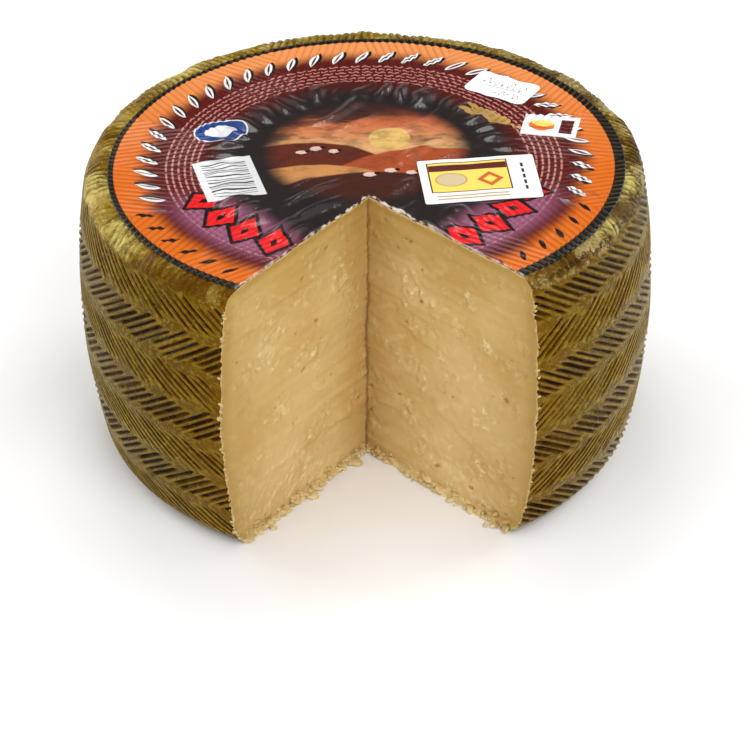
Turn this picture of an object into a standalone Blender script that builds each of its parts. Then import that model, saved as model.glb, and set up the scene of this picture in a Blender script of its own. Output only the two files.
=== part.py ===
# A wheel of hard sheep's cheese with a wedge cut out of it. Metres, +Z up.
# The origin is on the wheel's axis at the base, and the missing wedge faces -Y.
# The side carries the mark of a plaited grass band: seven rows of slanted slots that turn
# direction from row to row. A round label lies on top, with two paper stickers on it.

import math
import random

import bmesh
import bpy
from mathutils import Vector, noise

# Driving sizes of the wheel
WHEEL_RADIUS = 0.098
WHEEL_HEIGHT = 0.103
WAIST_HEIGHT = 0.0577
WALL_BULGE = 0.0057
SHOULDER_WIDTH = 0.0059
SHOULDER_DROP = 0.0049
FOOT_TUCK = 0.0071
FOOT_RISE = 0.009

# The plaited band
BAND_COUNT = 7
BAND_TOP = 0.0996
BAND_HEIGHT = 0.0138
SLOT_COUNT = 148
SLOT_DEPTH = 0.0014
SLOT_SLOPE = math.radians(34)
ROW_TURN = 0.0034
WALL_LUMP = 0.0005
WALL_SEED = 5

# The cut: the inner edge's place at the top and at the base, and the two cuts' directions
CUT_EDGE_TOP = (0.0013, -0.0243)
CUT_EDGE_BASE = (-0.0011, -0.0248)
CUT_LEFT = math.radians(-128.2)
CUT_RIGHT = math.radians(-45.9)
CUT_LENGTH = 0.094
CUT_FACE_STEPS = 13
CUT_ROUGHNESS = 0.0007
BLADE_OVERSHOOT = 0.008

# Crumbs that stick to the foot of the two cuts
CRUMB_COUNT = 20
CRUMB_SIZES = (0.0011, 0.0024)
CRUMB_SEED = 11

# The label and the stickers, which lie a hair's breadth apart
FILM_GAP = 0.0003
LABEL_RADIUS = 0.0869
LABEL_CENTRE = (0.0009, -0.0030)
LABEL_THICKNESS = 0.0004
LABEL_SIDES = 96
STICKER_THICKNESS = 0.0003
SEAL_CENTRE = (0.0385, -0.0153)
SEAL_SIZE = (0.0392, 0.0276)
SEAL_TURN = math.radians(5.0)
SEAL_CORNER = 0.0008
TAG_CENTRE = (0.0487, 0.0460)
TAG_SIZE = (0.0238, 0.0146)
TAG_TURN = math.radians(-33.0)
TAG_CORNER = 0.0022

# Colour, roughness and metallic value of each material
FINISHES = {
    "rind": ((0.130, 0.083, 0.016), 0.62, 0.0),
    "label_film": ((0.760, 0.260, 0.045), 0.30, 0.0),
    "seal_paper": ((0.820, 0.800, 0.740), 0.45, 0.0),
    "tag_paper": ((0.850, 0.850, 0.830), 0.60, 0.0),
}


def clear_scene():
    for obj in list(bpy.data.objects):
        bpy.data.objects.remove(obj, do_unlink=True)


def make_collection(name):
    collection = bpy.data.collections.new(name)
    bpy.context.scene.collection.children.link(collection)
    return collection


def finish_material(name):
    colour, roughness, metallic = FINISHES[name]
    material = bpy.data.materials.new(name)
    material.use_nodes = True
    shader = material.node_tree.nodes["Principled BSDF"]
    shader.inputs["Base Color"].default_value = (*colour, 1.0)
    shader.inputs["Roughness"].default_value = roughness
    shader.inputs["Metallic"].default_value = metallic
    return material


def object_from_bmesh(name, bm, collection):
    mesh = bpy.data.meshes.new(name)
    bm.to_mesh(mesh)
    bm.free()
    obj = bpy.data.objects.new(name, mesh)
    collection.objects.link(obj)
    return obj


def bake_modifiers(obj):
    # The evaluated mesh takes the place of the mesh and its modifiers
    bpy.context.view_layer.update()
    depsgraph = bpy.context.evaluated_depsgraph_get()
    mesh = bpy.data.meshes.new_from_object(obj.evaluated_get(depsgraph))
    obj.modifiers.clear()
    obj.data = mesh


def add_boolean(obj, operation, cutter=None, collection=None):
    modifier = obj.modifiers.new(operation.lower(), "BOOLEAN")
    modifier.operation = operation
    if collection is None:
        modifier.object = cutter
    else:
        modifier.operand_type = "COLLECTION"
        modifier.collection = collection
    return modifier


def wall_radius(z):
    # The wall swells to its widest at the waist, and is rounded off at the shoulder and the foot
    radius = WHEEL_RADIUS - WALL_BULGE * ((z - WAIST_HEIGHT) / (WHEEL_HEIGHT / 2)) ** 2
    above = (z - WHEEL_HEIGHT + SHOULDER_DROP) / SHOULDER_DROP
    below = (FOOT_RISE - z) / FOOT_RISE
    if above > 0:
        radius -= SHOULDER_WIDTH * (1 - math.sqrt(max(0.0, 1 - above**2)))
    if below > 0:
        radius -= FOOT_TUCK * (1 - math.sqrt(max(0.0, 1 - below**2)))
    return radius


def top_height(radius):
    # Height of the top face, which rolls over the shoulder outside its flat part
    flat = wall_radius(WHEEL_HEIGHT)
    across = min(1.0, max(0.0, (radius - flat) / SHOULDER_WIDTH))
    return WHEEL_HEIGHT - SHOULDER_DROP * (1 - math.sqrt(1 - across**2))


def band_rows():
    # Heights of the rings of points down the wall, two in every row of slots, and the row's number
    rows = []
    for band in range(BAND_COUNT):
        top = BAND_TOP - band * BAND_HEIGHT
        rows.append((top - ROW_TURN / 2, band))
        rows.append((top - BAND_HEIGHT + ROW_TURN / 2, band))
    return rows


def plait_shift(z):
    # How far round the wall a strand has run at this height: a zigzag, one leg a band
    run = BAND_HEIGHT / math.tan(SLOT_SLOPE)
    down = min(max((BAND_TOP - z) / BAND_HEIGHT, 0.0), float(BAND_COUNT))
    leg = down % 2.0
    return run * (leg if leg <= 1.0 else 2.0 - leg)


def wheel_profile():
    # Half of the wheel's outline, from the axis at the top down the outer side to the axis below
    shoulder = [math.radians(angle) for angle in (90, 58)]
    foot = [math.radians(angle) for angle in (48, 90)]
    heights = [WHEEL_HEIGHT - SHOULDER_DROP * (1 - math.sin(a)) for a in shoulder]
    heights += [z for z, _ in band_rows()]
    heights += [FOOT_RISE * (1 - math.sin(a)) for a in foot]
    outline = [(0.0, WHEEL_HEIGHT)]
    outline += [(wall_radius(z), z) for z in heights]
    outline.append((0.0, 0.0))
    return outline


def slot_strengths():
    # Every slot's own share of the full depth: worn ones are shallow
    draw = random.Random(WALL_SEED)
    return [[draw.uniform(0.55, 1.1) for _ in range(SLOT_COUNT)] for _ in range(BAND_COUNT)]


def turned_wheel(collection):
    bm = bmesh.new()
    points = [bm.verts.new((x, 0.0, z)) for x, z in wheel_profile()]
    for upper, lower in zip(points, points[1:]):
        bm.edges.new((upper, lower))
    wheel = object_from_bmesh("cheese", bm, collection)
    screw = wheel.modifiers.new("turn", "SCREW")
    screw.steps = 2 * SLOT_COUNT
    screw.render_steps = 2 * SLOT_COUNT
    screw.use_merge_vertices = True
    screw.merge_threshold = 0.00001
    bake_modifiers(wheel)
    return wheel


def press_plait(wheel):
    # Turns the columns of points along the strands and sinks every second one: the even columns
    # in one row of slots and the odd ones in the next, so that the slots' ends interlock
    strengths = slot_strengths()
    bands = {round(z, 5): band for z, band in band_rows()}
    step = math.pi / SLOT_COUNT
    for vertex in wheel.data.vertices:
        x, y, z = vertex.co
        radius = math.hypot(x, y)
        if radius < WHEEL_RADIUS / 2:
            continue
        angle = math.atan2(y, x)
        column = round(angle / step) % (2 * SLOT_COUNT)
        band = bands.get(round(z, 5))
        depth = 0.0
        if 0.0 < z < WHEEL_HEIGHT:
            depth = WALL_LUMP * noise.noise(Vector((x, y, z)) * 45.0)
        if band is not None and (column + band) % 2:
            depth += SLOT_DEPTH * strengths[band][column // 2]
        angle += plait_shift(z) / WHEEL_RADIUS
        radius -= depth
        vertex.co = (radius * math.cos(angle), radius * math.sin(angle), z)
    bm = bmesh.new()
    bm.from_mesh(wheel.data)
    bmesh.ops.triangulate(bm, faces=bm.faces)
    bmesh.ops.recalc_face_normals(bm, faces=bm.faces)
    bm.to_mesh(wheel.data)
    bm.free()


def blade_point(u, v, w):
    # A point of the missing wedge: u runs along the right cut, v along the left one, w is the height
    z = -BLADE_OVERSHOOT + w * (WHEEL_HEIGHT + 2 * BLADE_OVERSHOOT)
    rise = z / WHEEL_HEIGHT
    edge = Vector(CUT_EDGE_BASE).lerp(Vector(CUT_EDGE_TOP), rise)
    right = Vector((math.cos(CUT_RIGHT), math.sin(CUT_RIGHT)))
    left = Vector((math.cos(CUT_LEFT), math.sin(CUT_LEFT)))
    place = edge + right * (u * CUT_LENGTH) + left * (v * CUT_LENGTH)
    # The knife tears the hard paste a little, so both faces are slightly wavy
    spot = Vector((place.x, place.y, z))
    tear = CUT_ROUGHNESS * (noise.noise(spot * 70.0) + 0.5 * noise.noise(spot * 190.0))
    if v == 0.0:
        place += Vector((-math.sin(CUT_RIGHT), math.cos(CUT_RIGHT))) * tear
    elif u == 0.0:
        place += Vector((math.sin(CUT_LEFT), -math.cos(CUT_LEFT))) * tear
    return place.x, place.y, z


def knife(collection):
    # The missing wedge as a solid, which cuts the wheel and the label alike
    bm = bmesh.new()
    bmesh.ops.create_cube(bm, size=1.0)
    bmesh.ops.subdivide_edges(bm, edges=bm.edges, cuts=CUT_FACE_STEPS, use_grid_fill=True)
    for vertex in bm.verts:
        u, v, w = (round(part + 0.5, 6) for part in vertex.co)
        vertex.co = blade_point(u, v, w)
    bmesh.ops.triangulate(bm, faces=bm.faces)
    bmesh.ops.recalc_face_normals(bm, faces=bm.faces)
    obj = object_from_bmesh("missing_wedge", bm, collection)
    obj.hide_render = True
    obj.display_type = "WIRE"
    return obj


def crumbs(collection):
    # Torn crumbs along the foot of both cuts, more of them towards the rind
    draw = random.Random(CRUMB_SEED)
    reach = WHEEL_RADIUS * 0.70
    for number in range(CRUMB_COUNT):
        direction = CUT_LEFT if number % 3 else CUT_RIGHT
        inward = direction + (math.pi / 2 if direction == CUT_LEFT else -math.pi / 2)
        along = reach * (0.12 + 0.86 * math.sqrt(draw.random()))
        size = draw.uniform(*CRUMB_SIZES)
        edge = Vector(CUT_EDGE_BASE)
        foot = edge + Vector((math.cos(direction), math.sin(direction))) * along
        foot += Vector((math.cos(inward), math.sin(inward))) * (size * draw.uniform(0.1, 0.5))
        bm = bmesh.new()
        bmesh.ops.create_icosphere(bm, subdivisions=1, radius=size)
        for vertex in bm.verts:
            vertex.co *= draw.uniform(0.75, 1.2)
            vertex.co.z = max(vertex.co.z * 0.8, -size * 0.7)
        bmesh.ops.translate(bm, verts=bm.verts, vec=(foot.x, foot.y, size * 0.75 + 0.0001))
        object_from_bmesh(f"crumb_{number:02d}", bm, collection)


def cheese(parts, cutters, wedge):
    wheel = turned_wheel(parts)
    press_plait(wheel)
    add_boolean(wheel, "DIFFERENCE", cutter=wedge)
    bake_modifiers(wheel)
    lumps = make_collection("crumbs")
    crumbs(lumps)
    add_boolean(wheel, "UNION", collection=lumps)
    bake_modifiers(wheel)
    for obj in list(lumps.objects):
        bpy.data.objects.remove(obj, do_unlink=True)
    bpy.data.collections.remove(lumps)
    wheel.data.shade_smooth()
    wheel.data.set_sharp_from_angle(angle=math.radians(30))
    return wheel


def label(parts, wedge):
    # A printed film disc that follows the top face and rolls over the shoulder at its edge
    bm = bmesh.new()
    bmesh.ops.create_circle(bm, cap_ends=True, cap_tris=True, segments=LABEL_SIDES, radius=1.0)
    spokes = [edge for edge in bm.edges if min(v.co.length for v in edge.verts) < 0.5]
    bmesh.ops.subdivide_edges(bm, edges=spokes, cuts=1)
    for vertex in bm.verts:
        if 0.1 < vertex.co.length < 0.9:
            vertex.co *= 0.93 / vertex.co.length
        x = LABEL_CENTRE[0] + vertex.co.x * LABEL_RADIUS
        y = LABEL_CENTRE[1] + vertex.co.y * LABEL_RADIUS
        vertex.co = (x, y, top_height(math.hypot(x, y)) + FILM_GAP)
    disc = bmesh.ops.extrude_face_region(bm, geom=bm.faces)["geom"]
    raised = [item for item in disc if isinstance(item, bmesh.types.BMVert)]
    bmesh.ops.translate(bm, verts=raised, vec=(0.0, 0.0, LABEL_THICKNESS))
    bmesh.ops.triangulate(bm, faces=bm.faces)
    bmesh.ops.recalc_face_normals(bm, faces=bm.faces)
    obj = object_from_bmesh("label", bm, parts)
    add_boolean(obj, "DIFFERENCE", cutter=wedge)
    bake_modifiers(obj)
    return obj


def paper(name, parts, centre, size, turn, corner):
    # A small paper rectangle with rounded corners, flat on the label
    curve = bpy.data.curves.new(name, "CURVE")
    curve.dimensions = "2D"
    curve.fill_mode = "BOTH"
    curve.extrude = STICKER_THICKNESS / 2
    spline = curve.splines.new("POLY")
    half_x = size[0] / 2 - corner
    half_y = size[1] / 2 - corner
    outline = []
    for quarter, (sx, sy) in enumerate(((1, 1), (-1, 1), (-1, -1), (1, -1))):
        for step in range(4):
            angle = math.radians(90 * quarter + 30 * step)
            outline.append((sx * half_x + corner * math.cos(angle), sy * half_y + corner * math.sin(angle)))
    spline.points.add(len(outline) - 1)
    for point, (x, y) in zip(spline.points, outline):
        point.co = (x, y, 0.0, 1.0)
    spline.use_cyclic_u = True
    obj = bpy.data.objects.new(name, curve)
    parts.objects.link(obj)
    base = WHEEL_HEIGHT + 2 * FILM_GAP + LABEL_THICKNESS
    obj.location = (centre[0], centre[1], base + STICKER_THICKNESS / 2)
    obj.rotation_euler = (0.0, 0.0, turn)
    return obj


def main():
    clear_scene()
    parts = make_collection("manchego_cheese")
    cutters = make_collection("cutters")
    wedge = knife(cutters)
    pieces = {
        "rind": cheese(parts, cutters, wedge),
        "label_film": label(parts, wedge),
        "seal_paper": paper("seal_sticker", parts, SEAL_CENTRE, SEAL_SIZE, SEAL_TURN, SEAL_CORNER),
        "tag_paper": paper("batch_tag", parts, TAG_CENTRE, TAG_SIZE, TAG_TURN, TAG_CORNER),
    }
    for finish, obj in pieces.items():
        obj.data.materials.clear()
        obj.data.materials.append(finish_material(finish))


main()
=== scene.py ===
# Looks of a cut wheel of manchego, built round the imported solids. Lengths in the settings are in millimetres.
import math
import random

import bpy
import numpy as np
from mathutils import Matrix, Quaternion, Vector, noise


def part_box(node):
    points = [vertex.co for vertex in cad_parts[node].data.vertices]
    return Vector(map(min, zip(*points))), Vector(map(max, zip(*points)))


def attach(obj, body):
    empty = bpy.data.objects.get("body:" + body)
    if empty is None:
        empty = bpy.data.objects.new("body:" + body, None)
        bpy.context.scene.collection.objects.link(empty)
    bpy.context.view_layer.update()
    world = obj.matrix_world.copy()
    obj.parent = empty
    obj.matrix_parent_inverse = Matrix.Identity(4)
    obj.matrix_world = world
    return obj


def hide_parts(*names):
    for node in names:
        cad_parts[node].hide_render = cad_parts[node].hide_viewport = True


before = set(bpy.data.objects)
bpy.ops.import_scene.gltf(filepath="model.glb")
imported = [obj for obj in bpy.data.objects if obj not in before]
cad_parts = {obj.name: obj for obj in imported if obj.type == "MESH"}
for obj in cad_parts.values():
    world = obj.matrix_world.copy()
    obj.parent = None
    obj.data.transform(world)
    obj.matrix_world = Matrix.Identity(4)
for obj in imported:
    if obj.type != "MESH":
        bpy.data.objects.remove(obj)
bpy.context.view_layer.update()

mm = 0.001

# The wheel's outline, as its solid has it
wheel = {
    "radius": 98.0,
    "height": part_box("cheese")[1].z / mm,
    "waist": 57.7,
    "bulge": 5.7,
    "shoulderWidth": 5.9,
    "shoulderDrop": 4.9,
    "footTuck": 7.1,
    "footRise": 9.0,
    "rindDepth": 2.8,
    "lump": 0.4,
}

# The missing wedge: its inner edge at the top and at the base, and the directions of the two cuts
cut = {
    "edgeTop": (1.3, -24.3),
    "edgeBase": (-1.1, -24.8),
    "left": math.radians(-128.2),
    "right": math.radians(-45.9),
    "length": 104.0,
    "overshoot": 8.0,
    "cell": 0.62,
}


# Small helpers
def deselect():
    bpy.ops.object.select_all(action="DESELECT")


def pick(obj):
    deselect()
    obj.select_set(True)
    bpy.context.view_layer.objects.active = obj


def named(name):
    obj = bpy.context.object
    obj.name = name
    obj.data.name = name
    return obj


def together(*columns):
    # Rows of points from their separate coordinates
    return np.stack(np.broadcast_arrays(*columns), -1)


def readPoints(obj):
    points = np.zeros(len(obj.data.vertices) * 3, np.float32)
    obj.data.vertices.foreach_get("co", points)
    return points.reshape(-1, 3).astype(float) / mm


def writePoints(obj, x, y, z):
    obj.data.vertices.foreach_set("co", (together(x, y, z) * mm).astype(np.float32).ravel())
    obj.data.update()


def applyAll(obj):
    pick(obj)
    for modifier in list(obj.modifiers):
        bpy.ops.object.modifier_apply(modifier=modifier.name)


def setMode(mode):
    bpy.ops.object.mode_set(mode=mode)


def editMesh(obj, operator, chosen=None, kind="VERT", **options):
    # Runs a mesh operator on the chosen points or edges, or on the whole mesh
    pick(obj)
    setMode("EDIT")
    bpy.ops.mesh.select_mode(type=kind)
    bpy.ops.mesh.select_all(action="SELECT" if chosen is None else "DESELECT")
    if chosen is not None:
        setMode("OBJECT")
        elements = obj.data.edges if kind == "EDGE" else obj.data.vertices
        elements.foreach_set("select", np.asarray(chosen, bool))
        setMode("EDIT")
    operator(**options)
    setMode("OBJECT")


def fixNormals(obj):
    editMesh(obj, bpy.ops.mesh.normals_make_consistent, inside=False)


def turnBy(x, y, angle):
    return x * np.cos(angle) - y * np.sin(angle), x * np.sin(angle) + y * np.cos(angle)


def stepFrom(centre, degrees, along, aside=0.0):
    # The place reached from a centre by going along a direction and to the left of it
    x, y = turnBy(along, aside, math.radians(degrees))
    return centre[0] + x, centre[1] + y


def noiseAt(points, size, seed=0.0):
    # Smooth noise of about -1 to 1, with bumps of the given size
    shift = Vector((seed * 13.7, seed * 7.1, seed * 3.3))
    return np.array([noise.noise(Vector(p) / size + shift) for p in points]) * 1.6


def smoothStep(low, high, value):
    t = np.clip((value - low) / (high - low), 0.0, 1.0)
    return t * t * (3 - 2 * t)


def writeAttributes(obj, **layers):
    # Numbers or places at every point, for the materials to read
    for name, values in layers.items():
        kind, field = ("FLOAT", "value") if np.ndim(values) == 1 else ("FLOAT_VECTOR", "vector")
        attribute = obj.data.attributes.new(name, kind, "POINT")
        attribute.data.foreach_set(field, np.asarray(values, np.float32).ravel())


def ringedTube(name, columns, outline):
    # A closed cylinder with a row of points for each (radius, height) of a turned outline, to be bent to it.
    # Gives the tube, and the row, column, angle, radius and height of each point.
    rows = len(outline) - 1
    deselect()
    bpy.ops.mesh.primitive_cylinder_add(
        vertices=columns, radius=1.0, depth=1.0, end_fill_type="NOTHING", location=(0, 0, 0)
    )
    obj = named(name)
    ends = [[obj.data.vertices[number].co.z for number in edge.vertices] for edge in obj.data.edges]
    editMesh(obj, bpy.ops.mesh.subdivide, [abs(a - b) > 0.5 for a, b in ends], "EDGE", number_cuts=rows - 1)
    x, y, z = (readPoints(obj) * mm).T
    row = np.rint((0.5 - z) * rows).astype(int)
    column = np.rint(np.arctan2(y, x) / (2 * math.pi) * columns).astype(int) % columns
    for end in (0, rows):
        editMesh(obj, bpy.ops.mesh.edge_face_add, row == end)
    return obj, row, column, column / columns * 2 * math.pi, *outline[row].T


def makeSheet(name, columns, rows):
    # A flat grid with the x and y of its points, from -0.5 to 0.5
    deselect()
    bpy.ops.mesh.primitive_grid_add(x_subdivisions=columns, y_subdivisions=rows, size=1.0)
    sheet = named(name)
    x, y, _ = (readPoints(sheet) * mm).T
    return sheet, x, y


def cutAway(obj, cutter):
    modifier = obj.modifiers.new("cut", "BOOLEAN")
    modifier.operation = "DIFFERENCE"
    modifier.solver = "MANIFOLD"
    modifier.material_mode = "TRANSFER"
    modifier.object = cutter
    applyAll(obj)


def shadeSmooth(obj, degrees):
    pick(obj)
    bpy.ops.object.shade_smooth_by_angle(angle=math.radians(degrees))


def standFor(obj, node):
    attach(obj, "root")
    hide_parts(node)


# Colours of the print by name, in red, green and blue
inks = {
    "orange": (208, 101, 18),
    "apricot": (230, 152, 92),
    "maroon": (86, 16, 7),
    "charcoal": (38, 29, 28),
    "peach": (218, 116, 68),
    "sand": (236, 184, 124),
    "black": (14, 14, 15),
    "white": (236, 236, 236),
    "cream": (240, 205, 190),
    "rose": (206, 142, 134),
    "red": (222, 26, 30),
    "mauve": (150, 88, 118),
    "gold": (186, 146, 78),
    "blue": (30, 62, 128),
    "yellow": (240, 212, 96),
    "beige": (206, 184, 146),
}


# Node helpers. A colour is a socket, a name from inks, or red, green and blue from 0 to 255.
def put(kind, inputs=(), out=0, tree=None, **settings):
    # A node in the given tree, or in the tree of the sockets that feed it
    inputs = inputs if isinstance(inputs, dict) else dict(enumerate(inputs))
    feeds = {key: value for key, value in inputs.items() if isinstance(value, bpy.types.NodeSocket)}
    if tree is None:
        tree = next(iter(feeds.values())).id_data
    node = tree.nodes.new("ShaderNode" + kind)
    for key, value in settings.items():
        setattr(node, key, value)
    for key, value in inputs.items():
        if key in feeds:
            tree.links.new(value, node.inputs[key])
        elif value is not None:
            node.inputs[key].default_value = value
    return node.outputs[out]


def calc(operation, *values):
    return put("Math", values, operation=operation)


def add(first, second):
    return calc("ADD", first, second)


def minus(first, second):
    return calc("SUBTRACT", first, second)


def multiply(result, *others):
    for value in others:
        result = calc("MULTIPLY", result, value)
    return result


def vector(operation, *values, out=0):
    return put("VectorMath", values, out, operation=operation)


def parts(place):
    return put("SeparateXYZ", (place,)).node.outputs


def ramp(value, fromLow, fromHigh, toLow=0.0, toHigh=1.0):
    return put("MapRange", (value, fromLow, fromHigh, toLow, toHigh), interpolation_type="SMOOTHSTEP")


def linear(ink):
    if isinstance(ink, bpy.types.NodeSocket):
        return ink
    channels = [channel / 255 for channel in inks.get(ink, ink)]
    return (*[c / 12.92 if c <= 0.04045 else ((c + 0.055) / 1.055) ** 2.4 for c in channels], 1.0)


def blend(share, under, over):
    return put("Mix", {0: share, 6: linear(under), 7: linear(over)}, out=2, data_type="RGBA")


def tint(under, *layers):
    # Layers over what is there, each an ink and the shares whose product says how much of it shows
    for ink, *shares in layers:
        under = blend(multiply(*shares), under, ink)
    return under


def texture(place, scale, detail=2.0, roughness=0.5, stretch=(1, 1, 1), shift=(0, 0, 0), out=0):
    if stretch != (1, 1, 1) or shift != (0, 0, 0):
        place = put("Mapping", {"Vector": place, "Scale": stretch, "Location": shift})
    return put("TexNoise", {"Vector": place, "Scale": scale, "Detail": detail, "Roughness": roughness}, out)


def slant(place, angle):
    return put("Mapping", {"Vector": place, "Rotation": (0, 0, angle)})


def read(tree, name, out=2):
    return put("Attribute", out=out, tree=tree, attribute_name=name)


def placeInMm(tree):
    return vector("SCALE", put("TexCoord", out=3, tree=tree), None, None, 1 / mm)


def startMaterial(name, **values):
    material = bpy.data.materials.new(name)
    material.use_nodes = True
    shader = material.node_tree.nodes["Principled BSDF"]
    for key, value in values.items():
        shader.inputs[key.replace("_", " ")].default_value = value
    return material, material.node_tree, shader


def feed(shader, **sockets):
    for key, socket in sockets.items():
        socket.id_data.links.new(socket, shader.inputs[key.replace("_", " ")])


def bumps(height, strength, depth):
    return put("Bump", {"Strength": strength, "Distance": depth * mm, "Height": height})


def makeGroup(name, inputs, outputs, build):
    # A node group. Its inputs are given with their defaults, and build makes its outputs, which are plain numbers.
    tree = bpy.data.node_groups.new(name, "ShaderNodeTree")
    for label, default in inputs.items():
        kind = "NodeSocketVector" if isinstance(default, tuple) else "NodeSocketFloat"
        tree.interface.new_socket(label, in_out="INPUT", socket_type=kind).default_value = default
    for label in outputs:
        tree.interface.new_socket(label, in_out="OUTPUT", socket_type="NodeSocketFloat")
    entry = tree.nodes.new("NodeGroupInput")
    leave = tree.nodes.new("NodeGroupOutput")
    for number, result in enumerate(build(*entry.outputs[:len(inputs)])):
        tree.links.new(result, leave.inputs[number])
    return tree


# Shape masks for print. Places and sizes are in millimetres.
def fromCentre(place, centre, turn):
    away = vector("SUBTRACT", place, centre)
    return put("VectorRotate", {"Vector": away, "Angle": multiply(turn, -1)}, rotation_type="Z_AXIS")


def withinOne(value, soft):
    return ramp(value, minus(1, soft), add(1, soft), 1.0, 0.0)


def belowZero(value, soft):
    return ramp(value, multiply(soft, -1), soft, 1.0, 0.0)


def buildEllipse(place, centre, half, turn, soft):
    flat = vector("MULTIPLY", vector("DIVIDE", fromCentre(place, centre, turn), half), (1, 1, 0))
    return [withinOne(vector("LENGTH", flat, out=1), soft)]


def buildBox(place, centre, half, turn, soft):
    x, y, _ = parts(vector("SUBTRACT", vector("ABSOLUTE", fromCentre(place, centre, turn)), half))
    return [belowZero(calc("MAXIMUM", x, y), soft)]


def buildLozenge(place, centre, half, turn, soft):
    x, y, _ = parts(vector("ABSOLUTE", vector("DIVIDE", fromCentre(place, centre, turn), half)))
    return [withinOne(add(x, y), soft)]


def buildPolar(place, centre):
    flat = vector("MULTIPLY", vector("SUBTRACT", place, centre), (1, 1, 0))
    x, y, _ = parts(flat)
    angle = calc("DIVIDE", calc("ARCTAN2", y, x), 2 * math.pi)
    return [vector("LENGTH", flat, out=1), add(angle, 0.5)]


def buildRing(radius, middle, half, soft):
    return [belowZero(minus(calc("ABSOLUTE", minus(radius, middle)), half), soft)]


def buildLeaves(radius, angle, count, middle, long, wide, slope):
    # Pointed leaves all round a circle, each slanted to the circle
    cell = minus(calc("FRACT", multiply(angle, count)), 0.5)
    width = calc("DIVIDE", multiply(middle, 2 * math.pi), count)
    up = minus(radius, middle)
    across = add(multiply(cell, width), multiply(up, slope))
    share = calc("DIVIDE", up, long)
    room = minus(1, multiply(share, share))
    over = minus(calc("ABSOLUTE", across), multiply(room, wide))
    return [ramp(over, -0.18, 0.18, 1.0, 0.0)]


placeInputs = {"Place": (0, 0, 0), "Centre": (0, 0, 0)}
markInputs = {**placeInputs, "Half": (1, 1, 1), "Turn": 0.0, "Soft": 0.1}
ringInputs = {"Radius": 1.0, "Middle": 1.0, "Half": 1.0, "Soft": 0.1}
leafInputs = {"Radius": 1.0, "Angle": 0.0, "Count": 36.0, "Middle": 70.0, "Long": 5.0, "Wide": 1.6, "Slant": 0.5}
shapes = {
    "ellipse": makeGroup("ellipseMask", markInputs, ["Mask"], buildEllipse),
    "box": makeGroup("boxMask", markInputs, ["Mask"], buildBox),
    "lozenge": makeGroup("lozengeMask", markInputs, ["Mask"], buildLozenge),
    "polar": makeGroup("polarPlace", placeInputs, ["Radius", "Angle"], buildPolar),
    "ring": makeGroup("ringMask", ringInputs, ["Mask"], buildRing),
    "leaves": makeGroup("leafRing", leafInputs, ["Mask"], buildLeaves),
}


def shape(kind, **inputs):
    return put("Group", inputs, node_tree=shapes[kind])


def paint(under, place, kind, centre, half, ink, turn=0.0, soft=0.12, *shares):
    # One shape of ink over what is already printed, turned by degrees
    mask = shape(kind, Place=place, Centre=(*centre, 0.0), Half=(*half, 1.0), Turn=math.radians(turn), Soft=soft)
    return tint(under, (ink, mask, *shares))


def paintAll(under, place, marks):
    # Marks in the order of printing, each with shape, centre, half size, ink, turn, softness of its edge and shares
    for mark in marks:
        under = paint(under, place, *mark)
    return under


# The wheel's outline
def roundOff(share):
    # How far a quarter circle has fallen at a share of its width
    return 1 - np.sqrt(1 - np.clip(share, 0.0, 1.0) ** 2)


def wallRadius(z):
    radius = wheel["radius"] - wheel["bulge"] * ((z - wheel["waist"]) / (wheel["height"] / 2)) ** 2
    radius = radius - wheel["shoulderWidth"] * roundOff((z - wheel["height"]) / wheel["shoulderDrop"] + 1)
    return radius - wheel["footTuck"] * roundOff((wheel["footRise"] - z) / wheel["footRise"])


def topHeight(radius):
    past = (radius - float(wallRadius(wheel["height"]))) / wheel["shoulderWidth"]
    return wheel["height"] - wheel["shoulderDrop"] * roundOff(past)


def turnedOutline(settings):
    # Points (radius, height) from the top face over the shoulder, down the wall and under the foot
    top = wheel["height"]
    quarter = np.radians(np.linspace(90, 0, settings["shoulderRows"] + 1)[:-1])
    heights = [top - wheel["shoulderDrop"] * (1 - math.sin(angle)) for angle in quarter]
    heights += list(np.linspace(top - wheel["shoulderDrop"], wheel["footRise"], settings["wallRows"] + 1)[:-1])
    quarter = np.radians(np.linspace(0, 90, settings["footRows"] + 1))
    heights += [wheel["footRise"] * (1 - math.sin(angle)) for angle in quarter]
    outline = [(radius, top) for radius in settings["topRadii"]]
    outline += [(float(wallRadius(z)), z) for z in heights]
    return np.array(outline + [(radius, 0.0) for radius in settings["baseRadii"]])


# Fine ridges pressed into the top, in eight sectors of slightly converging lines
pressed = {
    "centre": (0.05, -3.0),
    "pitch": 2.5,
    "sectors": 8,
    "tilt": math.radians(12),
}


def pressedRidge(x, y):
    # 1 on a ridge's crest, 0 in the valley
    x = x - pressed["centre"][0]
    y = y - pressed["centre"][1]
    step = 2 * math.pi / pressed["sectors"]
    along, side = turnBy(x, y, -np.rint(np.arctan2(y, x) / step) * step)
    wave = np.abs(side) * math.cos(pressed["tilt"]) + along * math.sin(pressed["tilt"])
    return 0.5 + 0.5 * np.cos(2 * math.pi * wave / pressed["pitch"])


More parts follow.
